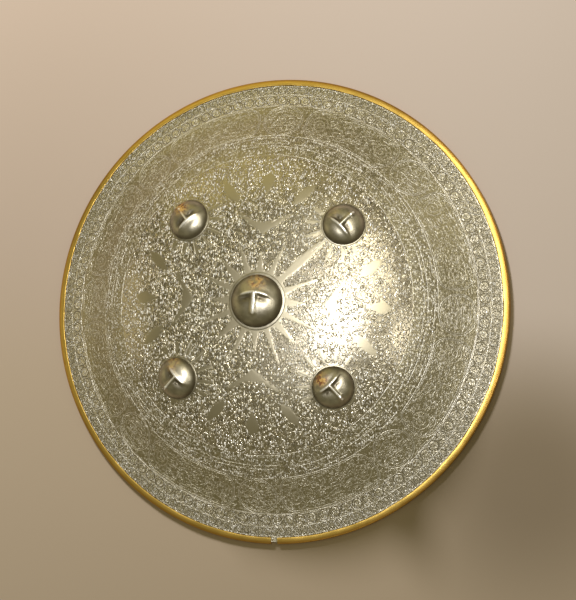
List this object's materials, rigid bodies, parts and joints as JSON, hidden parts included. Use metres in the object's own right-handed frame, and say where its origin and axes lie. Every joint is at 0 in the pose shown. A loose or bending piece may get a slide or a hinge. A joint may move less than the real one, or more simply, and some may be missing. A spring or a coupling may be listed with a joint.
{
  "type": "buckler shield",
  "caption": "Round domed steel shield with a flared lip, an engraved front, a brass edge binding and domed bosses with raised face ridges.",
  "frame": {"origin": "on the dome's axis at the plane that the rim's foot rests on, bottom centre of the bounding box", "axes": "+Z along the dome's axis, out of the front; +Y towards the top of the front, opposite the rim's open joint; +X to the right seen from the front"},
  "size_m": [0.45, 0.45, 0.0853],
  "materials": {
    "engraved_steel": "engraved and punched steel, greyish olive, softly worn, with bright cut edges",
    "boss_steel": "smooth polished steel, darker than the plate, with traces of orange rust",
    "brass": "golden brass, worn and slightly dented"
  },
  "bodies": {
    "root": {"plate": "engraved_steel", "rim": "brass", "boss_center": "boss_steel", "boss_upper_right": "boss_steel", "boss_upper_left": "boss_steel", "boss_lower_left": "boss_steel", "boss_lower_right": "boss_steel"}
  },
  "joints": []
}
